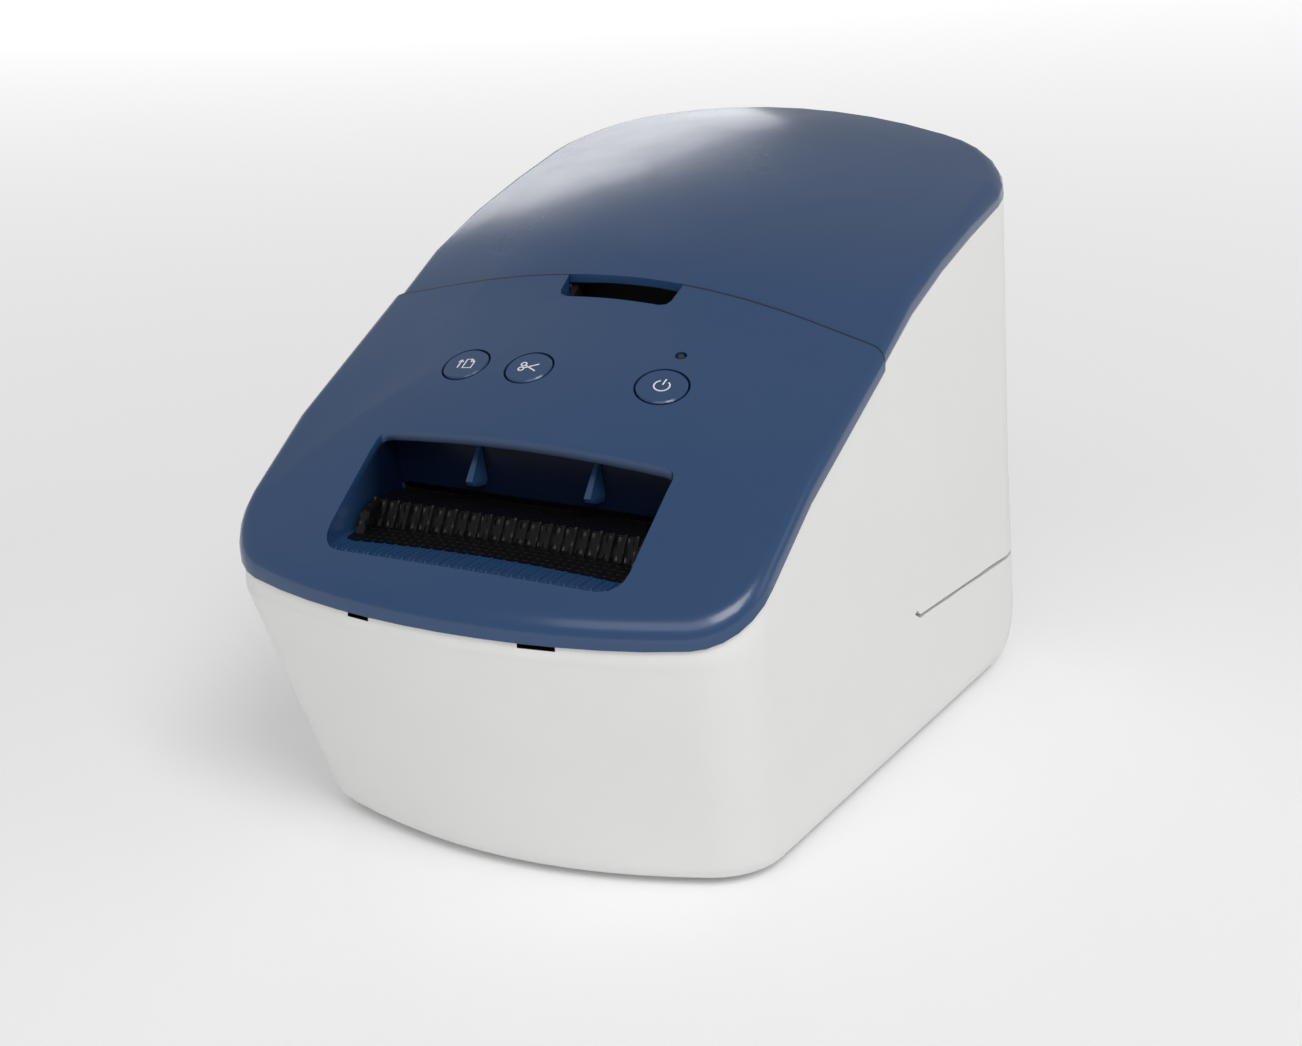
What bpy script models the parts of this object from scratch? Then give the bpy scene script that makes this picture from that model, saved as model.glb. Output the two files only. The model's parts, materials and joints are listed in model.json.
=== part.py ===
"""Desktop label printer: case, hinged lid, roll compartment, feed, print head, cutter and boards.

Lengths in this file are millimetres, and every mesh is scaled to metres as it is made.
X is the width, -Y is the front, +Z is up, and the origin is the middle of the footprint on the desk.
"""

import functools
import math

import bmesh
import bpy
from mathutils import Matrix, Vector

MM = 0.001

# Overall size
WIDTH = 125.3
DEPTH = 213.0
HEIGHT = 142.0
HALF_W = WIDTH / 2
HALF_D = DEPTH / 2

LID_INSET = 0.9

# Side profile of the top surface on the centre line, as (y, z), and its fall towards the sides
TOP_PROFILE = [
    (-106.5, 69.1), (-66, 96.6), (-26, 114.0), (-5, 123.9), (20, 131.5),
    (45, 136.7), (70, 141.0), (83, HEIGHT + LID_INSET / 2), (106.5, 135.4),
]
CROWN_SQUARE = 9.7
CROWN_SIXTH = 1.6

# Plan outline of the covers
FRONT_BOW = 8.6
FRONT_CORNER = 17.2
REAR_BOW = 2.7
REAR_CORNER = 27.0
LID_REAR = 88.4

# Covers
COVER_WALL = 2.0
COVER_EDGE = 3.0
COVER_EDGE_REAR = 4.2
SKIRT_FRONT = 4.9
SKIRT_REAR = 5.2
SEAM_Y = -16.3
SEAM_BOW = 2.9
SEAM_GAP = 0.45
SEAM_DRAFT = 0.12
NOTCH_X = -1.5

# Case
CASE_INSET = 0.9
CASE_WALL = 3.2
CASE_BOTTOM = 1.5
CASE_EDGE = 6.0
FRONT_UNDERCUT = 23.8
SIDE_TAPER_REAR = -2.5
SIDE_TAPER_FRONT = 8.7
UNDERCUT_TOP = 60.0
REAR_ROUND_Z = 14.3
REAR_ROUND_Y = 18.3
LIP_INSET = 3.3
LIP_HEIGHT = 1.2
GAP = 0.4
TOUCH = 0.3

# Label outlet
WINDOW_HALF = 35.7
WINDOW_STATIONS = (0, 8, 16, 24, 30.7, 33, 34.5, 35.3, WINDOW_HALF)
WINDOW_FRONT = -98.0
WINDOW_FRONT_BOW = 2.6
WINDOW_FRONT_CORNER = 5.0
WINDOW_REAR = -69.5
WINDOW_REAR_BOW = 1.4
WINDOW_REAR_CORNER = 2.3
OUTLET_FLOOR = 74.6
OUTLET_CROWN = 0.42
OUTLET_WALL = 1.8
OUTLET_BASE = 70.0
OUTLET_REAR = -62.6
INSERT_HALF = 34.9
INSERT_FRONT = -88.3
INSERT_CORNER = 4.0
SLOT_TOP = 79.2
GUIDE_TOP = (78.6, 77.5)
COMB_FOOT = (-78.0, 74.8)
COMB_HEAD = (-75.5, 78.6)
COMB_RIBS = 24
COMB_PITCH = 2.9

# Buttons, as plan positions of their centres, with radius
BUTTONS = {"feed": (-25.7, -48.3, 5.3), "cut": (-9.4, -48.9, 5.3), "power": (22.7, -48.3, 5.7)}
BUTTON_GAP = 0.5
BUTTON_TRAVEL = 1.0
LIGHT_AT = (22.3, -37.8)
BOARD_AT = (-1.5, -45.5)
BOARD_DEPTH = 12.0

# Feed train: shafts lie along X, one above the other
PLATEN_Y = -50.0
PLATEN_Z = 70.5
PLATEN_R = 7.0
GEAR_MODULE = 1.0
PLATEN_TEETH = 24
IDLER_TEETH = 20
MOTOR_TEETH = 12
IDLER_Z = PLATEN_Z - GEAR_MODULE * (PLATEN_TEETH + IDLER_TEETH) / 2
MOTOR_Z = IDLER_Z - GEAR_MODULE * (IDLER_TEETH + MOTOR_TEETH) / 2
GEAR_X = 46.5
GEAR_WIDTH = 4.0
SIDE_PLATE = (43.0, 45.0)

# Print head
HEAD_FACE_Z = PLATEN_Z + PLATEN_R + TOUCH
HEAD_PIVOT = (-38.0, 84.5)

# Cutter
RACK_MODULE = 0.8
CUTTER_TEETH = 12
BLADE_Y = -60.3
BLADE_Z = 79.4
CUTTER_PITCH_R = RACK_MODULE * CUTTER_TEETH / 2
RACK_PITCH_Y = BLADE_Y + 3.2
CUTTER_AXIS = (RACK_PITCH_Y + CUTTER_PITCH_R, 81.0)

# Label roll
ROLL_Y = 40.0
ROLL_Z = 89.0
ROLL_R = 36.0
ROLL_HALF = 31.0
CORE_R = 8.2

# Hinge, sockets, screws and feet
HINGE_R = 3.0
PIN_R = 1.25
HINGE_KNUCKLE = (20.0, 30.0)
HINGE_EARS = ((14.0, 19.5), (30.5, 35.0))
USB_X = 24.0
INLET_X = -26.0
SCREWS = {
    "front_left": (-22.0, -70.4),
    "front_right": (22.0, -70.4),
    "rear_left": (-53.0, 66.0),
    "rear_right": (53.0, 66.0),
}
FEET = {
    "front_left": (-36.0, -54.0),
    "front_right": (36.0, -54.0),
    "rear_left": (-40.0, 70.0),
    "rear_right": (40.0, 70.0),
}
RIM_SLOTS = ((-21.0, 2.75), (21.0, 4.0))
RIM_SLOT_BOTTOM = 62.9
SLIT_START = (86.0, 29.5)
SLIT_END = (13.0, 35.5)
SLIT_WIDTH = 1.0


# ---------------------------------------------------------------- helpers

def clear_scene():
    for obj in list(bpy.data.objects):
        bpy.data.objects.remove(obj, do_unlink=True)


def material(name, colour, roughness, metallic=0.0):
    made = bpy.data.materials.new(name)
    made.use_nodes = True
    shader = made.node_tree.nodes["Principled BSDF"]
    shader.inputs["Base Color"].default_value = (*colour, 1.0)
    shader.inputs["Roughness"].default_value = roughness
    shader.inputs["Metallic"].default_value = metallic
    made.diffuse_color = (*colour, 1.0)
    return made


def finish(name, bm, mat=None, pivot=(0, 0, 0), smooth_angle=30):
    """Turns a bmesh in millimetres into an object in metres whose origin is at pivot."""
    bmesh.ops.recalc_face_normals(bm, faces=bm.faces)
    bm.transform(Matrix.Scale(MM, 4) @ Matrix.Translation(-Vector(pivot)))
    mesh = bpy.data.meshes.new(name)
    bm.to_mesh(mesh)
    bm.free()
    mesh.shade_smooth()
    mesh.set_sharp_from_angle(angle=math.radians(smooth_angle))
    obj = bpy.data.objects.new(name, mesh)
    obj.location = Vector(pivot) * MM
    if mat is not None:
        mesh.materials.append(mat)
    bpy.context.scene.collection.objects.link(obj)
    return obj


def loft(loops, closed_start=True, closed_end=True):
    """Bmesh skin through loops of equal length, capped at both ends unless told otherwise."""
    bm = bmesh.new()
    rows = [[bm.verts.new(point) for point in loop] for loop in loops]
    count = len(rows[0])
    for low, high in zip(rows, rows[1:]):
        for i in range(count):
            j = (i + 1) % count
            bm.faces.new((low[i], low[j], high[j], high[i]))
    if closed_start:
        bm.faces.new(rows[0][::-1])
    if closed_end:
        bm.faces.new(rows[-1])
    return bm


def band(name, stations, profile, mat=None):
    """Solid skinned from side to side through profile(x), a list of (y, z) that closes on itself."""
    return finish(name, loft([[(x, y, z) for y, z in profile(x)] for x in stations]), mat)


def mirrored(values):
    return [-v for v in values[:0:-1]] + list(values)


AXES = {
    "X": lambda along, a, b: (along, a, b),
    "Y": lambda along, a, b: (a, along, b),
    "Z": lambda along, a, b: (a, b, along),
}


def prism(name, outline, axis, low, high, mat=None, pivot=(0, 0, 0)):
    """Extrudes a flat outline along an axis. The outline's two numbers are the other axes, in order."""
    place = AXES[axis]
    return finish(name, loft([[place(at, a, b) for a, b in outline] for at in (low, high)]), mat, pivot)


def block(name, low, high, mat=None, pivot=(0, 0, 0), bevel=0.0):
    outline = [(low[0], low[1]), (high[0], low[1]), (high[0], high[1]), (low[0], high[1])]
    obj = prism(name, outline, "Z", low[2], high[2], mat, pivot)
    if bevel:
        rounded = obj.modifiers.new("Bevel", "BEVEL")
        rounded.width = bevel * MM
        rounded.segments = 2
    return obj


def circle(centre, radius, segments=32, start=0.0):
    steps = [start + 2 * math.pi * i / segments for i in range(segments)]
    return [(centre[0] + radius * math.cos(a), centre[1] + radius * math.sin(a)) for a in steps]


def cylinder(name, centre, axis, radius, low, high, mat=None, segments=32, pivot=(0, 0, 0)):
    return prism(name, circle(centre, radius, segments), axis, low, high, mat, pivot)


def rounded_rectangle(low, high, radius, steps=4):
    points = []
    corners = [(high[0], low[1], -90), (high[0], high[1], 0), (low[0], high[1], 90), (low[0], low[1], 180)]
    for x, y, angle in corners:
        cx = x - math.copysign(radius, x - (low[0] + high[0]) / 2)
        cy = y - math.copysign(radius, y - (low[1] + high[1]) / 2)
        for i in range(steps + 1):
            a = math.radians(angle + 90 * i / steps)
            points.append((cx + radius * math.cos(a), cy + radius * math.sin(a)))
    return points


def boolean(target, other, operation):
    """Adds a live Boolean. The other object becomes a hidden helper."""
    step = target.modifiers.new(operation.title(), "BOOLEAN")
    step.solver = "EXACT"
    step.operation = operation
    step.object = other
    other.hide_render = True
    other.display_type = "WIRE"


def cut(target, *others):
    for other in others:
        boolean(target, other, "DIFFERENCE")


def join(target, *others):
    for other in others:
        boolean(target, other, "UNION")


# ---------------------------------------------------------------- shape of the outside

def top_height(x, y):
    """Height of the covers' outer surface."""
    points = TOP_PROFILE
    y_in = min(max(y, points[0][0]), points[-1][0])
    k = max(i for i in range(len(points) - 1) if points[i][0] <= y_in)
    (y0, z0), (y1, z1) = points[k], points[k + 1]
    slopes = []
    for i in (k, k + 1):
        before, after = points[max(i - 1, 0)], points[min(i + 1, len(points) - 1)]
        slopes.append((after[1] - before[1]) / (after[0] - before[0]))
    span = y1 - y0
    t = (y_in - y0) / span
    z = (2 * t**3 - 3 * t**2 + 1) * z0 + (t**3 - 2 * t**2 + t) * span * slopes[0]
    z += (3 * t**2 - 2 * t**3) * z1 + (t**3 - t**2) * span * slopes[1]
    return z - crown(x / HALF_W)


def crown(u):
    return CROWN_SQUARE * u**2 - CROWN_SIXTH * u**6


def top_normal(x, y):
    step = 0.5
    dx = (top_height(x + step, y) - top_height(x - step, y)) / (2 * step)
    dy = (top_height(x, y + step) - top_height(x, y - step)) / (2 * step)
    return Vector((-dx, -dy, 1)).normalized()


def backness(y):
    """0 in front and 1 at the back, with a smooth change between."""
    t = min(max((y - 20) / 60, 0), 1)
    return t * t * (3 - 2 * t)


def rim_height(x, y):
    """Height of the covers' lower edge, level from side to side at the back so that the hinge is straight."""
    back = backness(y)
    skirt = SKIRT_FRONT + (SKIRT_REAR - SKIRT_FRONT) * back
    level = back * (crown(1) - crown(min(abs(x) / HALF_W, 1)))
    return top_height(x, y) - skirt - level


def half_outline(half_w, front, rear, front_bow, front_r, rear_bow, rear_r):
    """Right half of a plan outline from the middle of the front to the middle of the back."""
    points = []
    flat = half_w - front_r
    for i in range(7):
        t = i / 6
        slope = Vector((2 * front_bow * t / flat, -1)).normalized()
        y = -(front - front_r) + front_bow * t * t + front_r * slope.y
        points.append((flat * t + front_r * slope.x, y))
    start = math.atan2(-1, 2 * front_bow / flat)
    centre = (flat, -(front - front_r) + front_bow)
    for i in range(1, 7):
        a = start * (1 - i / 6)
        points.append((centre[0] + front_r * math.cos(a), centre[1] + front_r * math.sin(a)))
    flat_rear = half_w - rear_r
    end = math.atan2(1, 2 * rear_bow / flat_rear)
    rear_centre = (flat_rear, rear - rear_r - rear_bow)
    for i in range(1, 7):
        t = i / 7
        points.append((half_w, centre[1] + (rear_centre[1] - centre[1]) * t))
    for i in range(7):
        a = end * i / 6
        points.append((rear_centre[0] + rear_r * math.cos(a), rear_centre[1] + rear_r * math.sin(a)))
    for i in range(3, -1, -1):
        t = i / 4
        slope = Vector((2 * rear_bow * t / flat_rear, 1)).normalized()
        y = rear - rear_r - rear_bow * t * t + rear_r * slope.y
        points.append((flat_rear * t + rear_r * slope.x, y))
    return points


def whole(half):
    return half + [(-x, y) for x, y in half[-2:0:-1]]


def cover_outline(inset=0.0):
    ends = HALF_D - inset, LID_REAR - inset
    corners = FRONT_BOW, FRONT_CORNER - inset, REAR_BOW, REAR_CORNER - inset
    return whole(half_outline(HALF_W - inset, *ends, *corners))


def case_ring(inset, height_of):
    """Ring of points on the case's wall, each at the height that height_of(x, y) gives."""
    ring = []
    for index, (x, y) in enumerate(cover_outline(inset)):
        for _ in range(4):
            x, y = case_section(inset, height_of(x, y))[index]
        ring.append((x, y, height_of(x, y)))
    return ring


@functools.lru_cache(maxsize=None)
def case_section(inset, z):
    """Plan outline of the case at height z: undercut in front, tapered to its foot, rounded at the bottom."""
    rise = min(max(z / UNDERCUT_TOP, 0), 1)
    edge = CASE_EDGE - math.sqrt(CASE_EDGE**2 - max(CASE_EDGE - z, 0) ** 2)
    front = HALF_D - FRONT_UNDERCUT * (1 - rise) - edge - inset
    lean = (HALF_D + CASE_INSET - LID_REAR) * min(max((z - REAR_ROUND_Z) / (125 - REAR_ROUND_Z), 0), 1)
    rear = HALF_D + CASE_INSET - lean - inset
    if z < REAR_ROUND_Z:
        q = (REAR_ROUND_Z - z) / REAR_ROUND_Z
        rear -= REAR_ROUND_Y * (1 - math.sqrt(1 - q * q))
    half = half_outline(
        HALF_W - edge - inset, front, rear, FRONT_BOW, FRONT_CORNER - inset, REAR_BOW, REAR_CORNER - inset
    )
    tapered = []
    for x, y in half:
        forward = min(max((HALF_D - y) / DEPTH, 0), 1)
        taper = SIDE_TAPER_REAR + (SIDE_TAPER_FRONT - SIDE_TAPER_REAR) * forward
        taper = max(taper, -CASE_INSET) * (1 - rise)
        tapered.append((x * (1 - taper / HALF_W), y))
    return whole(tapered)


# ---------------------------------------------------------------- materials

def materials():
    return {
        "cover": material("cover_blue", (0.030, 0.065, 0.145), 0.28),
        "case": material("case_white", (0.80, 0.80, 0.79), 0.42),
        "dark": material("dark_plastic", (0.012, 0.012, 0.013), 0.45),
        "grey": material("grey_plastic", (0.20, 0.21, 0.22), 0.5),
        "steel": material("steel", (0.62, 0.62, 0.63), 0.25, 1.0),
        "aluminium": material("aluminium", (0.75, 0.76, 0.78), 0.35, 1.0),
        "rubber": material("rubber", (0.02, 0.02, 0.02), 0.85),
        "gear": material("gear_white", (0.75, 0.74, 0.68), 0.4),
        "board": material("board_green", (0.02, 0.14, 0.06), 0.4),
        "paper": material("label_paper", (0.88, 0.87, 0.84), 0.7),
        "card": material("card_core", (0.42, 0.30, 0.18), 0.85),
        "light": material("light_pipe", (0.25, 0.33, 0.28), 0.2),
    }


# ---------------------------------------------------------------- case and base

def hinge_axis():
    return (LID_REAR + 0.3, rim_height(HALF_W, LID_REAR) + 0.2)


def outer_case(mats):
    def level(z):
        return lambda x, y: z

    def top(x, y):
        return rim_height(x, y) - GAP

    def kink(x, y):
        return min(UNDERCUT_TOP, top(x, y) - 1.0)

    def lip(x, y):
        return rim_height(x, y) + LIP_HEIGHT

    outer, inner = CASE_INSET, CASE_INSET + CASE_WALL
    heights = [level(z) for z in (CASE_BOTTOM, 2.6, 4.2, 6.0, 9.5, REAR_ROUND_Z)] + [kink, top]
    loops = [case_ring(outer, height) for height in heights]
    loops += [case_ring(LIP_INSET, top), case_ring(LIP_INSET, lip)]
    loops += [case_ring(inner, lip), case_ring(inner, kink)]
    loops += [case_ring(inner, level(z)) for z in (REAR_ROUND_Z, 6.0, CASE_BOTTOM)]
    bm = loft(loops + [loops[0]], False, False)
    bmesh.ops.remove_doubles(bm, verts=bm.verts, dist=1e-5)
    case = finish("outer_case", bm, mats["case"])

    for name, (x, y) in SCREWS.items():
        join(case, cylinder("boss_" + name, (x, y), "Z", 4.0, 5.4, 20.0, segments=16))
        join(case, boss_rib(name, x, y))
        cut(case, cylinder("pilot_" + name, (x, y), "Z", 1.5, 4.0, 16.0, segments=12))
    for side in (-1, 1):
        for ear in HINGE_EARS:
            join(case, hinge_ear(sorted(side * x for x in ear)))
        low, high = sorted(side * x for x in HINGE_KNUCKLE)
        room = cylinder("knuckle_room", hinge_axis(), "X", HINGE_R + GAP, low - GAP, high + GAP, segments=24)
        cut(case, room)
        cut(case, side_slit(side))
    cut(case, cylinder("ear_bore", hinge_axis(), "X", PIN_R + TOUCH, -60, 60, segments=16))
    cut(case, block("usb_cutout", (USB_X - 6.4, 98, 10.2), (USB_X + 6.4, 112, 21.8)))
    cut(case, block("inlet_cutout", (INLET_X - 10.4, 98, 10.2), (INLET_X + 10.4, 112, 23.8)))
    for x, half in RIM_SLOTS:
        cut(case, block("rim_slot", (x - half, -112, RIM_SLOT_BOTTOM), (x + half, -100.6, 66.0)))
    return case


def boss_rib(name, x, y):
    """Rib that ties a screw boss to the nearest wall: the front wall in front, the side wall at the back."""
    if y < 0:
        return block("rib_" + name, (x - 1.2, -80.5, 8.0), (x + 1.2, y, 19.0))
    edge = math.copysign(60.0, x)
    low, high = sorted((x, edge))
    return block("rib_" + name, (low, y - 1.2, 8.0), (high, y + 1.2, 19.0))


def hinge_ear(span):
    """Round eye behind the case's rear wall, with a web down into that wall."""
    y, z = hinge_axis()
    steps = [math.radians(-15 + 15 * i) for i in range(14)]
    outline = [(y + HINGE_R * math.cos(a), z + HINGE_R * math.sin(a)) for a in steps]
    outline += [(y - 5.4, z - 12.0), (y - 1.4, z - 12.0)]
    return prism("hinge_ear", outline, "X", *span)


def side_slit(side):
    """A thin sloping slot that runs forward from the rear corner and ends in a short upward hook."""
    run = Vector(SLIT_END) - Vector(SLIT_START)
    across = Vector((-run.y, run.x)).normalized() * SLIT_WIDTH / 2
    if across.y < 0:
        across = -across
    back, front = Vector(SLIT_START) - run.normalized() * 5, Vector(SLIT_END)
    hook = [front + Vector((-3.6, 1.6)), front + Vector((-2.6, 2.4))]
    outline = [back - across, front - across, *hook, front + across, back + across]
    return prism("side_slit", [tuple(p) for p in outline], "X", *sorted((side * 40.0, side * 70.0)))


def base_plate(mats):
    low, high = 2.9, 4.9
    outline = case_section(CASE_INSET + CASE_WALL + 2.5 * GAP, low)
    plate = prism("base_plate", outline, "Z", low, high, mats["grey"])
    for name, (x, y) in SCREWS.items():
        cut(plate, cylinder("base_hole_" + name, (x, y), "Z", 1.5, 0, 8, segments=12))
    for x in (-28, 28):
        for y in (-8, 76):
            join(plate, cylinder("standoff", (x, y), "Z", 3.0, 4.0, 8.3, segments=12))
    for name, (x, y) in FEET.items():
        levels = ((6.4, 0.0), (7.0, 0.6), (7.0, low - TOUCH))
        loops = [[(a, b, z) for a, b in circle((x, y), radius, 20)] for radius, z in levels]
        finish("foot_" + name, loft(loops), mats["rubber"])
    for name, (x, y) in SCREWS.items():
        levels = ((2.8, 1.3), (2.8, low - TOUCH), (1.15, low - TOUCH), (1.15, 14.0))
        loops = [[(a, b, z) for a, b in circle((x, y), radius, 12)] for radius, z in levels]
        finish("base_screw_" + name, loft(loops), mats["steel"])


# ---------------------------------------------------------------- covers

def blended_outline(inset, front_extra, rear_extra):
    """Cover outline moved inwards by one amount in front and by another at the back."""
    pairs = zip(cover_outline(inset + front_extra), cover_outline(inset + rear_extra))
    points = []
    for front, rear in pairs:
        back = backness(front[1])
        points.append((front[0] + (rear[0] - front[0]) * back, front[1] + (rear[1] - front[1]) * back))
    return points


def cover_shell(name, inset, mat):
    """The whole cover as one domed shell with a rolled edge and a skirt, before it is parted at the seam."""
    middle = Vector((0, (LID_REAR - HALF_D) / 2))
    lower = inset * 0.5

    def scaled(outline, share, drop):
        out = []
        for x, y in outline:
            p = middle + (Vector((x, y)) - middle) * share
            out.append((p.x, p.y, top_height(p.x, p.y) - drop))
        return out

    def rolled(angle):
        a = math.radians(angle)
        reach, fall = 1 - math.sin(a), 1 - math.cos(a)
        ring = blended_outline(inset, COVER_EDGE * reach, COVER_EDGE_REAR * reach)
        points = []
        for x, y in ring:
            edge = COVER_EDGE + (COVER_EDGE_REAR - COVER_EDGE) * backness(y)
            points.append((x, y, top_height(x, y) - lower - fall * edge))
        return points

    shares = [0.015, 0.08, 0.2, 0.34, 0.48, 0.62, 0.75, 0.88]
    flat = blended_outline(inset, COVER_EDGE, COVER_EDGE_REAR)
    inner = inset + COVER_WALL
    inside = cover_outline(inner)
    inside_flat = blended_outline(inner, 0.7, 2.0)
    loops = [scaled(flat, share, lower) for share in shares]
    loops += [rolled(angle) for angle in (0, 22, 45, 68, 90)]
    loops.append([(x, y, rim_height(x, y)) for x, y in cover_outline(inset)])
    loops.append([(x, y, rim_height(x, y)) for x, y in inside])
    ceiling = lower + COVER_WALL
    loops.append([(x, y, top_height(x, y) - ceiling - 0.7 - 1.3 * backness(y)) for x, y in inside])
    loops.append([(x, y, top_height(x, y) - ceiling) for x, y in inside_flat])
    loops += [scaled(inside_flat, share, ceiling) for share in reversed(shares[1::2])]
    return finish(name, loft(loops), mat)


def seam_y(x):
    return SEAM_Y - SEAM_BOW * (x / HALF_W) ** 2


def seam_block(name, rearward):
    """Everything behind the seam, or everything in front of it. The seam leans back so that the lid clears it."""
    loops = []
    for i in range(17):
        x = -72 + 9 * i
        y = seam_y(x)
        if rearward:
            y += SEAM_GAP
            z = top_height(min(max(x, -HALF_W), HALF_W), y) + 0.5
            lean = y + SEAM_DRAFT * (z - 40)
            loops.append([(x, lean, 40), (x, y, z), (x, y, 200), (x, 150, 200), (x, 150, 40)])
        else:
            loops.append([(x, y, 30), (x, y, 200), (x, -150, 200), (x, -150, 30)])
    return finish(name, loft(loops))


def corner_setback(x, half, radius):
    """How far a rounded corner pulls an edge back at this x."""
    into = abs(x) - (half - radius)
    if into <= 0:
        return 0.0
    return radius - math.sqrt(max(radius**2 - into**2, 0))


def window_front(x):
    setback = corner_setback(x, WINDOW_HALF, WINDOW_FRONT_CORNER)
    return WINDOW_FRONT + WINDOW_FRONT_BOW * (x / WINDOW_HALF) ** 2 + setback


def window_rear(x):
    setback = corner_setback(x, WINDOW_HALF, WINDOW_REAR_CORNER)
    return WINDOW_REAR + WINDOW_REAR_BOW * (x / WINDOW_HALF) ** 2 - setback


def outlet_floor(x):
    return OUTLET_FLOOR - OUTLET_CROWN * crown(x / HALF_W)


def seam_ledge():
    """Lip under the seam: it is part of the front cover and the lid's front edge rests over it."""

    def profile(x):
        y = seam_y(x)
        steps = ((-5, -0.5), (-0.6, -0.5), (-0.2, 1.3), (5, 1.3), (5, 3.0), (-5, 3.0))
        return [(y + offset, top_height(x, y + offset) - COVER_WALL - depth) for offset, depth in steps]

    return band("seam_ledge", [-54 + 9 * i for i in range(13)], profile)


def outlet_walls():
    """Solid plug under the window, later hollowed, so that the outlet's walls are part of the front cover."""
    half = WINDOW_HALF + OUTLET_WALL

    def profile(x):
        front = WINDOW_FRONT + WINDOW_FRONT_BOW * (x / half) ** 2 - OUTLET_WALL + corner_setback(x, half, 6.0)
        rear = OUTLET_REAR + OUTLET_WALL
        points = [(rear, OUTLET_BASE)]
        for i in range(5):
            y = rear + (front - rear) * i / 4
            points.append((y, top_height(x, y) - 0.9))
        return points + [(front, OUTLET_BASE)]

    return band("outlet_walls", mirrored((0, 9, 18, 26, 31.5, 34.5, 36.5, half)), profile)


def window():
    """Cutter for the outlet's opening, down to its sloping floor."""

    def profile(x):
        front, rear, floor = window_front(x), window_rear(x), outlet_floor(x)
        return [(front, floor), (rear, floor), (rear, 130), (front, 130)]

    return band("window", mirrored(WINDOW_STATIONS), profile)


def outlet_hollow():
    """Room that runs back from the window, under the panel, to the outlet's rear wall."""

    def profile(x):
        ceiling = [(y, top_height(x, y) - COVER_WALL - TOUCH) for y in (OUTLET_REAR, -68, -72, -76)]
        return [(-76, SLOT_TOP - 0.6), (OUTLET_REAR, SLOT_TOP - 0.6), *ceiling]

    return band("outlet_hollow", mirrored((0, 9, 18, 27, WINDOW_HALF - 0.4)), profile)


def insert_outline(half, front, rear, corner):
    stations = mirrored([0, *(half - share * corner for share in (1, 0.6, 0.3, 0.08, 0))])
    return [(half, rear), (-half, rear)] + [(x, front + corner_setback(x, half, corner)) for x in stations]


def notch_outline(grow=0.0, rear=-8.0):
    """Finger notch in the front cover's rear edge, as seen from above."""
    low, high, front = 11.7 + grow, 15.3 + grow, -23.8 - grow
    right = [(low, front), (low + 1.6, front + 0.6), (low + 2.3, front + 1.9), (high, rear)]
    left = [(-x, y) for x, y in reversed(right)]
    return [(NOTCH_X + x, y) for x, y in right + left]


def control_panel(mats):
    panel = cover_shell("control_panel", 0.0, mats["cover"])
    boolean(panel, seam_block("front_block", False), "INTERSECT")
    for name, (x, y, radius) in BUTTONS.items():
        hole = radius + BUTTON_GAP
        cut(panel, turned(name + "_hole", (x, y), ((hole, -6), (hole, 6)), None, 36))
    cut(panel, turned("light_hole", LIGHT_AT, ((1.35, -6), (1.35, 6)), None, 16))
    join(panel, seam_ledge(), outlet_walls())
    cut(panel, window(), outlet_hollow())
    insert = insert_outline(INSERT_HALF, INSERT_FRONT, -58, INSERT_CORNER)
    cut(panel, prism("insert_hollow", insert, "Z", 60, SLOT_TOP))
    cut(panel, prism("finger_notch", notch_outline(), "Z", 80, 140))
    join(panel, outlet_fin(-14.4), outlet_fin(14.4))
    return panel


def outlet_fin(x):
    """Tapered guide fin on the outlet's rear wall."""
    root = OUTLET_REAR + 0.8
    loops = []
    steps = ((90.5, OUTLET_REAR - 0.2, 0.4), (83.0, -68.0, 0.8), (82.0, -67.4, 0.8), (81.0, -64.6, 0.7))
    for z, y, half in steps:
        foot = half * 2.2
        loops.append([(x - half, y, z), (x + half, y, z), (x + foot, root, z), (x - foot, root, z)])
    return finish("outlet_fin", loft(loops))


def turned(name, at, steps, mat, segments, pivoted=False):
    """Round piece square to the top surface at a plan position, from (radius, height over the surface) steps."""
    x, y = at
    origin = Vector((x, y, top_height(x, y)))
    turn = top_normal(x, y).to_track_quat("Z", "Y").to_matrix()
    loops = []
    for radius, level in steps:
        ring = circle((0, 0), radius, segments)
        loops.append([origin + turn @ Vector((a, b, level)) for a, b in ring])
    return finish(name, loft(loops), mat, tuple(origin) if pivoted else (0, 0, 0))


def lid(mats):
    cover = cover_shell("lid", LID_INSET, mats["cover"])
    boolean(cover, seam_block("rear_block", True), "INTERSECT")
    for side, label in ((-1, "left"), (1, "right")):
        join(cover, lid_knuckle(sorted(side * x for x in HINGE_KNUCKLE)))
        for ear in HINGE_EARS:
            low, high = sorted(side * x for x in ear)
            room = cylinder("ear_room", hinge_axis(), "X", HINGE_R + GAP, low - GAP, high + GAP, segments=24)
            cut(cover, room)
        span = sorted(side * x for x in (HINGE_EARS[0][0] + 0.5, HINGE_EARS[1][1] - 0.5))
        cylinder("hinge_pin_" + label, hinge_axis(), "X", PIN_R, *span, mats["steel"], 16)
    cut(cover, cylinder("knuckle_bore", hinge_axis(), "X", PIN_R + TOUCH, -60, 60, segments=16))
    return cover


def lid_knuckle(span):
    """Round knuckle with a web up into the lid's rear wall."""
    y, z = hinge_axis()
    steps = [math.radians(165 + 15 * i) for i in range(14)]
    outline = [(y + HINGE_R * math.cos(a), z + HINGE_R * math.sin(a)) for a in steps]
    outline += [(y - 1.6, z + 6.0), (y - 4.0, z + 6.0)]
    return prism("knuckle", outline, "X", *span)


# ---------------------------------------------------------------- buttons and their board

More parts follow.
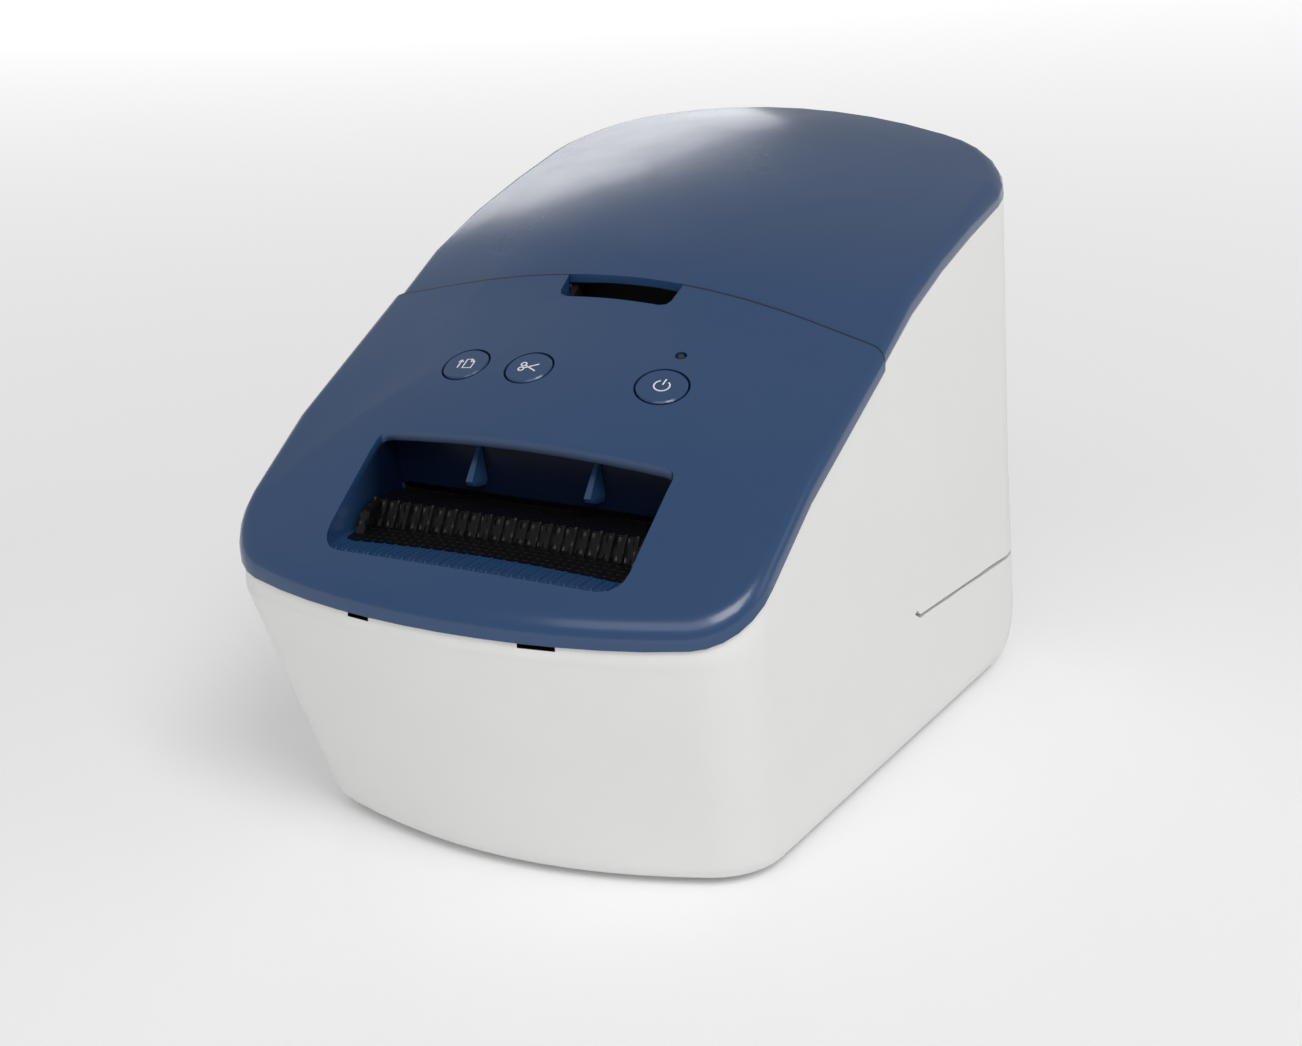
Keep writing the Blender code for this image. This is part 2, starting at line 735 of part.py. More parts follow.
def board_clearance(x, y):
    """Distance from the top surface at (x, y) down to the button board, along the board's normal."""
    base = Vector((*BOARD_AT, top_height(*BOARD_AT)))
    rise = (Vector((x, y, top_height(x, y))) - base).dot(top_normal(*BOARD_AT))
    return BOARD_DEPTH + rise


def buttons(mats):
    for name, (x, y, radius) in BUTTONS.items():
        steps = (
            (2.0, -5.2), (2.0, -4.2), (radius + 1.3, -4.2), (radius + 1.3, -2.9),
            (radius, -2.9), (radius, -0.15), (radius - 0.35, 0.15),
        )
        turned(name + "_button", (x, y), steps, mats["cover"], 32, True)
        cap = -5.2 - BUTTON_TRAVEL - TOUCH
        base = -board_clearance(x, y) + 0.8
        steps = ((3.0, base), (3.0, cap - 1.4), (1.7, cap - 1.4), (1.7, cap))
        turned(name + "_switch", (x, y), steps, mats["dark"], 12)
    x, y = BOARD_AT
    origin = Vector((x, y, top_height(x, y)))
    turn = top_normal(x, y).to_track_quat("Z", "Y").to_matrix()
    corners = [(-31, -9), (31, -9), (31, 9), (-31, 9)]
    levels = (-BOARD_DEPTH - 1.6, -BOARD_DEPTH)
    loops = [[origin + turn @ Vector((a, b, level)) for a, b in corners] for level in levels]
    finish("button_board", loft(loops), mats["board"])


def finger_cup(mats):
    """Dark cup that lines the finger notch, with a flange that sits under the front cover."""
    inside, outside = notch_outline(-1.7, -9.8), notch_outline(-TOUCH, -8.6)
    flange = notch_outline(2.4, -6.4)

    def ring(outline, depth):
        return [(x, y, top_height(x, y) - depth) for x, y in outline]

    floor = 101.0
    loops = [[(x, y, floor) for x, y in outside], ring(outside, 7.0), ring(flange, 7.0), ring(flange, 5.7)]
    loops += [ring(outside, 5.7), ring(outside, 3.7), ring(inside, 3.7)]
    loops.append([(x, y, floor + 1.4) for x, y in inside])
    return finish("finger_cup", loft(loops), mats["dark"])


# ---------------------------------------------------------------- roll compartment

def roll_cradle(mats):
    inner, outer = ROLL_R + 4.5, ROLL_R + 6.5
    arc = [math.radians(200 + 10 * i) for i in range(17)]
    wall = [(ROLL_Y + outer * math.cos(a), ROLL_Z + outer * math.sin(a)) for a in arc]
    profile = wall + [(ROLL_Y + inner * math.cos(a), ROLL_Z + inner * math.sin(a)) for a in reversed(arc)]
    profile += [(-41.0, 76.8), (-41.0, 75.0)]
    cradle = prism("roll_cradle", profile, "X", -40.0, 40.0, mats["grey"])
    for side in (-1, 1):
        low, high = sorted((side * 39.0, side * 41.0))
        join(cradle, prism("cradle_wall", wall, "X", low, high))
        join(cradle, block("cradle_leg", (low, 14, 5.2), (high, 66, 60)))
        steps = [math.radians(180 + 20 * i) for i in range(10)]
        slot = [(ROLL_Y + 4.2 * math.cos(a), ROLL_Z + 4.2 * math.sin(a)) for a in steps]
        slot += [(ROLL_Y + 4.2, 110), (ROLL_Y - 4.2, 110)]
        cut(cradle, prism("spool_slot", slot, "X", low - 1, high + 1))
        narrow = sorted((side * 33.5, side * 48.0))
        cut(cradle, block("tongue_trim", (narrow[0], -50, 60), (narrow[1], -4.0, 90)))
    return cradle


def label_roll(mats):
    at = (ROLL_Y, ROLL_Z)
    pivot = (0, ROLL_Y, ROLL_Z)
    roll = cylinder("label_roll", at, "X", ROLL_R, -ROLL_HALF, ROLL_HALF, mats["paper"], 64, pivot)
    cut(roll, cylinder("roll_bore", at, "X", CORE_R + TOUCH, -40, 40, segments=32))
    core = cylinder("roll_core", at, "X", CORE_R, -ROLL_HALF, ROLL_HALF, mats["card"], 32, pivot)
    cut(core, cylinder("core_bore", at, "X", CORE_R - 1.0, -40, 40, segments=32))
    for side in (-1, 1):
        label = "left" if side < 0 else "right"
        steps = ((0.2, 6.4), (1.2, CORE_R - 1.4), (31.6, CORE_R - 1.4), (31.6, 17.0))
        steps += ((33.6, 17.0), (33.6, 3.6), (42.6, 3.6))
        loops = [[(side * x, y, z) for y, z in circle(at, radius, 24)] for x, radius in steps]
        finish("spool_" + label, loft(loops), mats["dark"])


# ---------------------------------------------------------------- chassis and feed train

def chassis(mats):
    """Bent steel frame: a floor and two side plates, with a crossbar that carries the label guide."""
    near, far = SIDE_PLATE
    side = [(-66, 5.2), (-66, 84), (-56, 89), (-33, 89), (-33, 5.2)]
    frame = block("chassis", (-far, -66, 5.2), (far, -33, 7.2), mats["steel"])
    for sign in (-1, 1):
        plate = prism("side_plate", side, "X", *sorted((sign * near, sign * far)))
        join(frame, plate)
    join(frame, block("guide_bar", (-44, -65, 60), (44, -62, 65.5)))
    span = (-60, 60)
    cut(frame, cylinder("bearing_hole", (PLATEN_Y, PLATEN_Z), "X", 5.0 + TOUCH, *span, segments=32))
    cut(frame, cylinder("pivot_hole", HEAD_PIVOT, "X", 1.5 + TOUCH, *span, segments=16))
    cut(frame, cylinder("idler_hole", (PLATEN_Y, IDLER_Z), "X", 1.5 + TOUCH, 30, 60, segments=16))
    cut(frame, cylinder("motor_hole", (PLATEN_Y, MOTOR_Z), "X", 2.5, 30, 60, segments=20))
    cut(frame, cylinder("cutter_hole", CUTTER_AXIS, "X", 2.5, -60, -30, segments=20))
    return frame


def gear(name, centre, teeth, module, x_low, x_high, tooth_up, mat, bore, start_angle):
    """Spur gear with straight-sided teeth. start_angle points at the middle of a tooth, or of a gap."""
    pitch_r = module * teeth / 2
    tip, root = pitch_r + 0.8 * module, pitch_r - 1.15 * module
    pitch = 2 * math.pi / teeth
    outline = []
    shift = 0 if tooth_up else pitch / 2
    for i in range(teeth):
        middle = start_angle + shift + i * pitch
        for radius, share in ((root, -0.30), (tip, -0.13), (tip, 0.13), (root, 0.30)):
            a = middle + share * pitch
            outline.append((centre[0] + radius * math.cos(a), centre[1] + radius * math.sin(a)))
    made = prism(name, outline, "X", x_low, x_high, mat, ((x_low + x_high) / 2, *centre))
    if bore:
        cut(made, cylinder(name + "_bore", centre, "X", bore, x_low - 1, x_high + 1, segments=20))
    return made


def feed_train(mats):
    platen_at = (PLATEN_Y, PLATEN_Z)
    pivot = (0, *platen_at)
    roller = cylinder("platen_roller", platen_at, "X", PLATEN_R, -32, 32, mats["rubber"], 40, pivot)
    cut(roller, cylinder("roller_bore", platen_at, "X", 3.0 + TOUCH, -40, 40, segments=24))
    cylinder("platen_shaft", platen_at, "X", 3.0, -45.7, 51.5, mats["steel"], 24, pivot)
    for label, sign in (("left", -1), ("right", 1)):
        low, high = sorted((sign * 42.4, sign * 45.9))
        bush = cylinder("bush_" + label, platen_at, "X", 5.0, low, high, mats["dark"], 32)
        cut(bush, cylinder("bush_bore_" + label, platen_at, "X", 3.0 + TOUCH, -60, 60, segments=24))
    x_span = (GEAR_X, GEAR_X + GEAR_WIDTH)
    down, up = -math.pi / 2, math.pi / 2
    gear("platen_gear", platen_at, PLATEN_TEETH, GEAR_MODULE, *x_span, True, mats["gear"], 3.0 + TOUCH, down)
    idler_at = (PLATEN_Y, IDLER_Z)
    gear("idler_gear", idler_at, IDLER_TEETH, GEAR_MODULE, *x_span, False, mats["gear"], 1.5 + TOUCH, up)
    cylinder("idler_pin", idler_at, "X", 1.5, 42.0, 51.5, mats["steel"], 16)
    motor_at = (PLATEN_Y, MOTOR_Z)
    pinion = gear("motor_pinion", motor_at, MOTOR_TEETH, GEAR_MODULE, *x_span, True, mats["gear"], 0, up)
    join(pinion, cylinder("motor_stub", motor_at, "X", 1.5, 43.2, 47.0, segments=16))
    motor = cylinder("feed_motor", motor_at, "X", 10.0, 18.0, 42.6, mats["steel"], 36)
    join(motor, block("motor_foot", (24.0, PLATEN_Y - 7.0, 7.6), (40.0, PLATEN_Y + 7.0, MOTOR_Z - 7.0)))


def print_head(mats):
    y, z = HEAD_PIVOT
    pivot = (0, y, z)
    face = HEAD_FACE_Z
    block("print_head", (-32, -56, face), (32, -43.5, face + 1.6), mats["dark"], pivot)
    sink = block("head_heatsink", (-33, -56, face + 1.9), (33, -42, face + 4.9), mats["aluminium"], pivot)
    for i in range(6):
        x = -27.5 + 11 * i
        join(sink, block("sink_fin", (x - 0.8, -55, face + 4.4), (x + 0.8, -43, face + 8.0)))
    for sign in (-1, 1):
        span = sorted((sign * 27.0, sign * 31.0))
        steps = [math.radians(-60 + 30 * i) for i in range(6)]
        lug = [(-45.0, face + 2.5)] + [(y + 3.4 * math.cos(a), z + 3.4 * math.sin(a)) for a in steps]
        lug.append((-45.0, face + 4.2))
        join(sink, prism("sink_lug", lug, "X", *span))
    cut(sink, cylinder("lug_bore", HEAD_PIVOT, "X", 1.5 + TOUCH, -40, 40, segments=16))
    cylinder("head_pivot_pin", HEAD_PIVOT, "X", 1.5, -45.4, 45.4, mats["steel"], 16)
    head_spring(mats)


def head_spring(mats):
    """Coil on the pivot pin that presses the head down."""
    y, z = HEAD_PIVOT
    coil_r, wire_r, turns, steps = 2.7, 0.35, 4, 10
    curve = bpy.data.curves.new("head_spring", "CURVE")
    curve.dimensions = "3D"
    curve.bevel_depth = wire_r * MM
    curve.bevel_resolution = 0
    curve.use_fill_caps = True
    spline = curve.splines.new("POLY")
    count = turns * steps + 1
    spline.points.add(count - 1)
    for i in range(count):
        a = 2 * math.pi * i / steps
        x = 34.5 + 5.0 * i / (count - 1)
        point = Vector((x, y + coil_r * math.cos(a), z + coil_r * math.sin(a))) * MM
        spline.points[i].co = (*point, 1)
    curve.materials.append(mats["steel"])
    spring = bpy.data.objects.new("head_spring", curve)
    bpy.context.scene.collection.objects.link(spring)


# ---------------------------------------------------------------- cutter and label guide

def cutter(mats):
    axis = CUTTER_AXIS
    block("fixed_blade", (-34.5, BLADE_Y - 1.3, 61.0), (34.5, BLADE_Y - 0.3, 77.2), mats["steel"])
    blade = block("moving_blade", (-42, BLADE_Y, BLADE_Z), (34, BLADE_Y + 1.2, 89.0), mats["steel"])
    join(blade, cutter_rack())
    x_span = (-41.6, -38.4)
    pinion = gear("cutter_pinion", axis, CUTTER_TEETH, RACK_MODULE, *x_span, True, mats["gear"], 0, math.pi)
    join(pinion, cylinder("cutter_stub", axis, "X", 1.5, -45.6, -41.0, segments=16))
    cylinder("cutter_motor", axis, "X", 7.0, -57.0, -46.2, mats["steel"], 24)


def cutter_rack():
    """Rack on the blade's end, with straight teeth that face the pinion."""
    pitch = math.pi * RACK_MODULE
    tip, root = RACK_PITCH_Y + 0.75 * RACK_MODULE, RACK_PITCH_Y - 1.15 * RACK_MODULE
    low, high = CUTTER_AXIS[1] - 3.8 * pitch, CUTTER_AXIS[1] + 3.8 * pitch
    outline = [(BLADE_Y + 0.2, high), (BLADE_Y + 0.2, low), (root, low)]
    for i in range(-3, 3):
        z = CUTTER_AXIS[1] + (i + 0.5) * pitch
        tooth = ((root, -0.30), (tip, -0.13), (tip, 0.13), (root, 0.30))
        outline += [(y, z + share * pitch) for y, share in tooth]
    outline.append((root, high))
    return prism("rack", outline, "X", -42.0, -38.2)


def label_guide(mats):
    """Dark insert in the outlet: a flat front, a ribbed step, and a deck that leads back to the cutter."""
    half, rear, base = INSERT_HALF - GAP, -62.2 - TOUCH, 66.0
    corner = INSERT_CORNER - GAP

    def profile(x):
        floor = outlet_floor(x)
        front = INSERT_FRONT + GAP + corner_setback(x, half, corner)
        deck = [(rear, GUIDE_TOP[1]), (COMB_HEAD[0], GUIDE_TOP[0])]
        return [(rear, base), *deck, (COMB_FOOT[0], floor + 0.2), (front, floor), (front, base)]

    stations = mirrored((0, 10, 20, half - corner, half - 0.5 * corner, half - 0.15 * corner, half))
    guide = band("label_guide", stations, profile, mats["dark"])
    join(guide, comb())
    wedge = [(-76.0, 77.0), (-76.6, 78.9), (-80.5, 77.6), (-84.0, 73.0), (-76.0, 73.0)]
    for side in (-1, 1):
        join(guide, prism("guide_wedge", wedge, "X", *sorted((side * (half - 2.6), side * (half - 0.3)))))
    return guide


def comb():
    """Row of thin ribs up the guide's step."""
    foot, head = Vector(COMB_FOOT), Vector(COMB_HEAD)
    run = (head - foot).normalized()
    out = Vector((-run.y, run.x))
    outline = []
    for i in range(COMB_RIBS):
        x = (i - (COMB_RIBS - 1) / 2) * COMB_PITCH
        outline += [(x - 0.4, -0.5), (x - 0.3, 0.7), (x + 0.3, 0.7), (x + 0.4, -0.5)]
    outline += [(outline[-1][0], -1.3), (outline[0][0], -1.3)]
    loops = []
    for end in (foot - run * 1.2, head + run * 0.5):
        loops.append([(x, *(end + out * height)) for x, height in outline])
    return finish("comb", loft(loops))


# ---------------------------------------------------------------- boards and sockets

def boards(mats):
    board = block("main_board", (-33, -18, 8.6), (33, 90, 10.2), mats["board"])
    chips = ((4, 0, 20, 16, 12.2), (-24, -14, -8, -4, 14.0), (8, 30, 24, 44, 13.0))
    for left, front, right, rear, top in chips:
        join(board, block("chip", (left, front, 9.8), (right, rear, top)))
    for x, y in ((26, 12), (28, 56)):
        join(board, cylinder("capacitor", (x, y), "Z", 4.0, 9.8, 21.0, segments=20))
    block("power_supply", (-33, 22, 10.6), (-2, 82, 36), mats["grey"], bevel=1.5)
    socket = block("usb_socket", (USB_X - 6.0, 90.6, 10.6), (USB_X + 6.0, 105.0, 21.4), mats["aluminium"])
    cut(socket, block("usb_hollow", (USB_X - 4.6, 95.0, 12.2), (USB_X + 4.6, 108.0, 19.8)))
    join(socket, block("usb_tongue", (USB_X - 2.8, 94.0, 14.4), (USB_X + 2.8, 104.0, 17.6)))
    inlet = block("power_inlet", (INLET_X - 10.0, 90.6, 10.6), (INLET_X + 10.0, 105.0, 23.4), mats["dark"])
    oval = rounded_rectangle((INLET_X - 8.0, 12.8), (INLET_X + 8.0, 21.2), 4.15)
    cut(inlet, prism("inlet_hollow", oval, "Y", 94.0, 108.0))
    for sign in (-1, 1):
        centre = (INLET_X + sign * 4.3, 17.0)
        join(inlet, cylinder("inlet_pin", centre, "Y", 1.2, 93.0, 103.5, segments=12))


def status_light(mats):
    low = -board_clearance(*LIGHT_AT) + 0.8
    turned("status_light", LIGHT_AT, ((1.0, low), (1.0, -0.6), (0.7, -0.2)), mats["light"], 16)


def build():
    clear_scene()
    mats = materials()
    outer_case(mats)
    base_plate(mats)
    control_panel(mats)
    lid(mats)
    buttons(mats)
    status_light(mats)
    finger_cup(mats)
    roll_cradle(mats)
    label_roll(mats)
    chassis(mats)
    feed_train(mats)
    print_head(mats)
    cutter(mats)
    label_guide(mats)
    boards(mats)


build()
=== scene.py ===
"""Looks for the desktop label printer: plastics, metals, printed symbols, outlet ribs, light and camera."""

import json
import math
from collections import namedtuple

import bmesh
import bpy
from mathutils import Matrix, Vector


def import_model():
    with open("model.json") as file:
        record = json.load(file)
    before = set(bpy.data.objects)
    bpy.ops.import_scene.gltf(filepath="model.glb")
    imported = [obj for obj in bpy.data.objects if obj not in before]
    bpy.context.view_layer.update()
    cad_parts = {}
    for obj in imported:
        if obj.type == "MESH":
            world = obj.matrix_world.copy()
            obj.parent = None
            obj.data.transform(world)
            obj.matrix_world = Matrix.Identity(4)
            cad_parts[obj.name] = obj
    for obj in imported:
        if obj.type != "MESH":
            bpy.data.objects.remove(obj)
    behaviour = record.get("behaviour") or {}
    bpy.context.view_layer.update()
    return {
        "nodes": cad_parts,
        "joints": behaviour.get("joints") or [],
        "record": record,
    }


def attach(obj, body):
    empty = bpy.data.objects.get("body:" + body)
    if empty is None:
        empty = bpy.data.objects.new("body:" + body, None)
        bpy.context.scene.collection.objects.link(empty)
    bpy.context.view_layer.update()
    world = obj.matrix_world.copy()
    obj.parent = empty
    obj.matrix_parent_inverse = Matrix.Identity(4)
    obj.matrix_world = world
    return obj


# Lengths are in millimetres, and MM turns them into the frame's metres. Those in metres end in _M.
MM = 0.001

# The covers' half width, and the parting line between them: it is at SEAM_AT in the middle and SEAM_BOW
# further forward at the sides.
COVER_HALF = 62.65
SEAM_AT = -16.3
SEAM_BOW = 2.9
# Half width of the shadow line painted along the parting line.
SEAM_SHADE_HALF = 0.42

# The cover's outer face above the outlet, as height = FACE_HEIGHT_M + FACE_SLOPE * y - FACE_CROWN * x * x.
FACE_HEIGHT_M = 0.1363
FACE_SLOPE = 0.63
FACE_CROWN = 2.47

# Where shade is painted on the outlet's walls, which also lose most of their shine there: the half width and
# rear end of the region, and how the shade fades in.
SHADE_HALF = 36.6
SHADE_REAR = -62.3
SHADE_FADE_Y = (-84.0, -70.0)
SHADE_FADE_DEPTH = (-1.2, 0.6)
SHADE_MOST = 0.93
SHINE_LOSS = 0.9

# The two fins on the outlet's rear wall are left out of the painted shade and keep the cover's own blue.
FIN_X = 14.4
FIN_HALF = 2.0
FIN_Y = (-68.9, -62.75)

# The short slots in the case's front rim, where shade is painted, as centre and half width.
RIM_SLOTS = ((-21.0, 2.75), (21.0, 4.0))
RIM_SLOT_MARGIN = 0.02
RIM_SLOT_REAR = -99.0
RIM_SLOT_BOTTOM = 62.88

# The label roll's axis, and the distance between the rings drawn on its ends.
ROLL_AXIS_M = (0.0, 0.04, 0.089)
RING_PITCH_M = 0.0007

# The outlet's blue ledge. It follows the cover's crown at a share of its fall, and the crown falls by
# CROWN_FALL * u**2 - CROWN_RISE * u**6 at u half widths from the middle. In front the ledge bows, and the
# window's corners are round.
LEDGE_HEIGHT = 74.6
LEDGE_SHARE = 0.42
CROWN_FALL = 9.7
CROWN_RISE = 1.6
LEDGE_FRONT = -98.0
LEDGE_BOW = 2.6
WINDOW_HALF = 35.7
WINDOW_CORNER = 5.0

# The ribs on that ledge: every second one is low and narrow.
RIB_PITCH = 1.45
RIBS_EACH_SIDE = 22
RIB_REAR = -88.5
RIB_FRONT_SLOPE = 0.7
RIB_REAR_SLOPE = 0.4
RIB_SUNK = 0.15

# Facets that meet at less than this angle are shaded as one smooth surface.
SMOOTH_BELOW = math.radians(31)
WELD_DISTANCE_M = 0.000002
CRISP = ("label_guide", "idler_gear", "motor_pinion", "platen_gear", "cutter_pinion", "head_heatsink")

# Printed strokes: they start a little below the button's face and end a little above it.
STROKE_WIDTH = 0.34
STROKE_BOTTOM = -0.05
STROKE_TOP = 0.035
SYMBOL_LIFT = 0.15

Surface = namedtuple("Surface", "material tree shader where")

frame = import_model()
nodes = frame["nodes"]


# ---------------------------------------------------------------- shader building blocks

def node(tree, kind, **settings):
    """New node of a kind, with its settings."""
    made = tree.nodes.new(kind)
    for key, value in settings.items():
        setattr(made, key, value)
    return made


def maths(tree, operation, *values):
    """Math node whose inputs are sockets or numbers."""
    made = node(tree, "ShaderNodeMath", operation=operation)
    for socket, value in zip(made.inputs, values):
        if isinstance(value, (int, float)):
            socket.default_value = value
        else:
            tree.links.new(value, socket)
    return made.outputs[0]


def vector_maths(tree, operation, vector, constant=None):
    """Vector math node on a position, with a constant as its second input if the operation takes one."""
    made = node(tree, "ShaderNodeVectorMath", operation=operation)
    tree.links.new(vector, made.inputs[0])
    if constant is not None:
        made.inputs[1].default_value = constant
    return made.outputs["Value" if operation == "LENGTH" else "Vector"]


def all_of(tree, first, *others):
    """Product of masks: 1 only where every one of them is 1."""
    for other in others:
        first = maths(tree, "MULTIPLY", first, other)
    return first


def close_to(tree, value, centre, half):
    """1 where the value is within half of the centre, else 0."""
    offset = maths(tree, "SUBTRACT", value, centre)
    return maths(tree, "LESS_THAN", maths(tree, "ABSOLUTE", offset), half)


def ramp(tree, value, low, high, bottom=0.0, top=1.0):
    """bottom up to low, then a straight rise to top at high."""
    made = node(tree, "ShaderNodeMapRange")
    made.inputs["From Min"].default_value = low
    made.inputs["From Max"].default_value = high
    made.inputs["To Min"].default_value = bottom
    made.inputs["To Max"].default_value = top
    tree.links.new(value, made.inputs["Value"])
    return made.outputs["Result"]


def axes(tree, vector):
    """The x, y and z of a position, as three sockets."""
    split = node(tree, "ShaderNodeSeparateXYZ")
    tree.links.new(vector, split.inputs["Vector"])
    return [split.outputs[axis] for axis in "XYZ"]


def stretched(tree, vector, scale, rotation=(0.0, 0.0, 0.0)):
    """Position turned and scaled, so that a pattern on it comes out turned and stretched."""
    made = node(tree, "ShaderNodeMapping")
    made.inputs["Scale"].default_value = scale
    made.inputs["Rotation"].default_value = rotation
    tree.links.new(vector, made.inputs["Vector"])
    return made.outputs["Vector"]


def noise(tree, vector, scale, detail, roughness=0.5):
    """Soft random pattern between 0 and 1."""
    made = node(tree, "ShaderNodeTexNoise")
    made.inputs["Scale"].default_value = scale
    made.inputs["Detail"].default_value = detail
    made.inputs["Roughness"].default_value = roughness
    tree.links.new(vector, made.inputs["Vector"])
    return made.outputs["Fac"]


def tint(surface, colour, mask):
    """Mixes what already colours the surface towards another colour where the mask is 1."""
    target = surface.shader.inputs["Base Color"]
    before = target.links[0].from_socket
    mix = node(surface.tree, "ShaderNodeMix", data_type="RGBA")
    mix.inputs["B"].default_value = (*colour, 1.0)
    surface.tree.links.new(before, mix.inputs["A"])
    surface.tree.links.new(mask, mix.inputs["Factor"])
    surface.tree.links.new(mix.outputs["Result"], target)


def add_bump(surface, height, strength, distance):
    """Chains a bump in front of any bump that is already there."""
    target = surface.shader.inputs["Normal"]
    bump = node(surface.tree, "ShaderNodeBump")
    bump.inputs["Strength"].default_value = strength
    bump.inputs["Distance"].default_value = distance
    surface.tree.links.new(height, bump.inputs["Height"])
    if target.links:
        surface.tree.links.new(target.links[0].from_socket, bump.inputs["Normal"])
    surface.tree.links.new(bump.outputs["Normal"], target)


# ---------------------------------------------------------------- kinds of material

def base_material(name, colour, roughness, metallic=0.0):
    """Principled material whose roughness and colour drift a little, as handled and moulded surfaces do."""
    material = bpy.data.materials.new(name)
    material.use_nodes = True
    tree = material.node_tree
    shader = tree.nodes["Principled BSDF"]
    shader.inputs["Metallic"].default_value = metallic
    shader.inputs["IOR"].default_value = 1.46
    where = node(tree, "ShaderNodeTexCoord").outputs["Object"]
    smudge = noise(tree, where, scale=34.0, detail=5.0, roughness=0.6)

    smoothest = max(roughness - 0.035, 0.02)
    roughest = min(roughness + 0.045, 1.0)
    tree.links.new(ramp(tree, smudge, 0.3, 0.7, smoothest, roughest), shader.inputs["Roughness"])

    tone = node(tree, "ShaderNodeMix", data_type="RGBA")
    tone.inputs["A"].default_value = (*[channel * 0.965 for channel in colour], 1.0)
    tone.inputs["B"].default_value = (*[min(channel * 1.03, 1.0) for channel in colour], 1.0)
    tree.links.new(smudge, tone.inputs["Factor"])
    tree.links.new(tone.outputs["Result"], shader.inputs["Base Color"])
    return Surface(material, tree, shader, where)


def plastic(name, colour, roughness, grain_scale, grain_strength):
    """Moulded plastic, rubber or card with a fine grain."""
    surface = base_material(name, colour, roughness)
    grain = noise(surface.tree, surface.where, grain_scale, detail=3.0)
    add_bump(surface, grain, grain_strength, distance=0.00006)
    return surface


def metal(name, colour, roughness, brush):
    """Metal with a fine brushed grain along one axis."""
    surface = base_material(name, colour, roughness, 1.0)
    lines = noise(surface.tree, stretched(surface.tree, surface.where, brush), scale=1.0, detail=4.0)
    add_bump(surface, lines, strength=0.12, distance=0.00005)
    return surface.material


# ---------------------------------------------------------------- details in the surfaces

def scratches(surface, amount):
    """Fine hairline marks from handling, as a faint bump."""
    tree = surface.tree
    direction = stretched(tree, surface.where, (40.0, 700.0, 120.0), (0.0, 0.3, 0.5))
    lines = noise(tree, direction, scale=1.6, detail=2.0)
    add_bump(surface, ramp(tree, lines, 0.72, 0.82, top=amount), strength=0.03, distance=0.00002)


def studs(surface, pitch, angle):
    """Small round studs on a square grid turned by angle, as a bump."""
    tree = surface.tree
    turned = stretched(tree, surface.where, (2 * math.pi / pitch,) * 3, (0.0, 0.0, angle))
    x, y, _ = axes(tree, turned)
    waves = maths(tree, "MULTIPLY", maths(tree, "SINE", x), maths(tree, "SINE", y))
    add_bump(surface, ramp(tree, waves, 0.25, 0.95), strength=0.5, distance=0.0004)


def seam_shadow(surface):
    """Painted shadow line along the parting edge between the lid and the front cover."""
    tree = surface.tree
    x, y, _ = axes(tree, surface.where)
    curve = SEAM_BOW / COVER_HALF**2 / MM
    bow = maths(tree, "MULTIPLY", maths(tree, "MULTIPLY", x, x), curve)
    straightened = maths(tree, "ADD", y, bow)
    line = close_to(tree, straightened, SEAM_AT * MM, SEAM_SHADE_HALF * MM)
    # Painted shadow colour for the seam line.
    tint(surface, (0.004, 0.010, 0.024), line)


def outlet_mask(tree, where):
    """Mask for the painted shade: 1 on the walls deep inside the outlet, fading to 0 below the cover's outer
    face, and 0 on the fins.
    """
    x, y, z = axes(tree, where)
    slope = maths(tree, "ADD", maths(tree, "MULTIPLY", y, FACE_SLOPE), FACE_HEIGHT_M)
    crown = maths(tree, "MULTIPLY", maths(tree, "MULTIPLY", x, x), FACE_CROWN)
    depth = maths(tree, "SUBTRACT", maths(tree, "SUBTRACT", slope, crown), z)

    inside = close_to(tree, x, 0.0, SHADE_HALF * MM)
    in_front = maths(tree, "LESS_THAN", y, SHADE_REAR * MM)
    at_fin = close_to(tree, maths(tree, "ABSOLUTE", x), FIN_X * MM, FIN_HALF * MM)
    past_fin_front = maths(tree, "GREATER_THAN", y, FIN_Y[0] * MM)
    before_fin_rear = maths(tree, "LESS_THAN", y, FIN_Y[1] * MM)
    off_fin = maths(tree, "SUBTRACT", 1.0, all_of(tree, at_fin, past_fin_front, before_fin_rear))

    fade_back = ramp(tree, y, SHADE_FADE_Y[0] * MM, SHADE_FADE_Y[1] * MM, top=SHADE_MOST)
    fade_down = ramp(tree, depth, SHADE_FADE_DEPTH[0] * MM, SHADE_FADE_DEPTH[1] * MM)
    return all_of(tree, fade_back, fade_down, inside, in_front, off_fin)


def outlet_shade(surface):
    """Painted shade on the walls deep inside the outlet: dark blue, with most of the shine taken away."""
    mask = outlet_mask(surface.tree, surface.where)
    # Painted shade colour for the outlet's walls.
    tint(surface, (0.0016, 0.004, 0.015), mask)
    for name in ("Specular IOR Level", "Coat Weight"):
        shine = surface.shader.inputs[name]
        loss = maths(surface.tree, "MULTIPLY", mask, SHINE_LOSS * shine.default_value)
        left = maths(surface.tree, "SUBTRACT", shine.default_value, loss)
        surface.tree.links.new(left, shine)


def slot_shadow(surface):
    """Painted shade inside the two short slots in the case's front rim."""
    tree = surface.tree
    x, y, z = axes(tree, surface.where)
    slots = [close_to(tree, x, centre * MM, (half + RIM_SLOT_MARGIN) * MM) for centre, half in RIM_SLOTS]
    across = maths(tree, "MAXIMUM", *slots)
    front = maths(tree, "LESS_THAN", y, RIM_SLOT_REAR * MM)
    high = maths(tree, "GREATER_THAN", z, RIM_SLOT_BOTTOM * MM)
    # Painted shade colour for the slots' insides.
    tint(surface, (0.012, 0.013, 0.015), all_of(tree, across, front, high))


# ---------------------------------------------------------------- materials

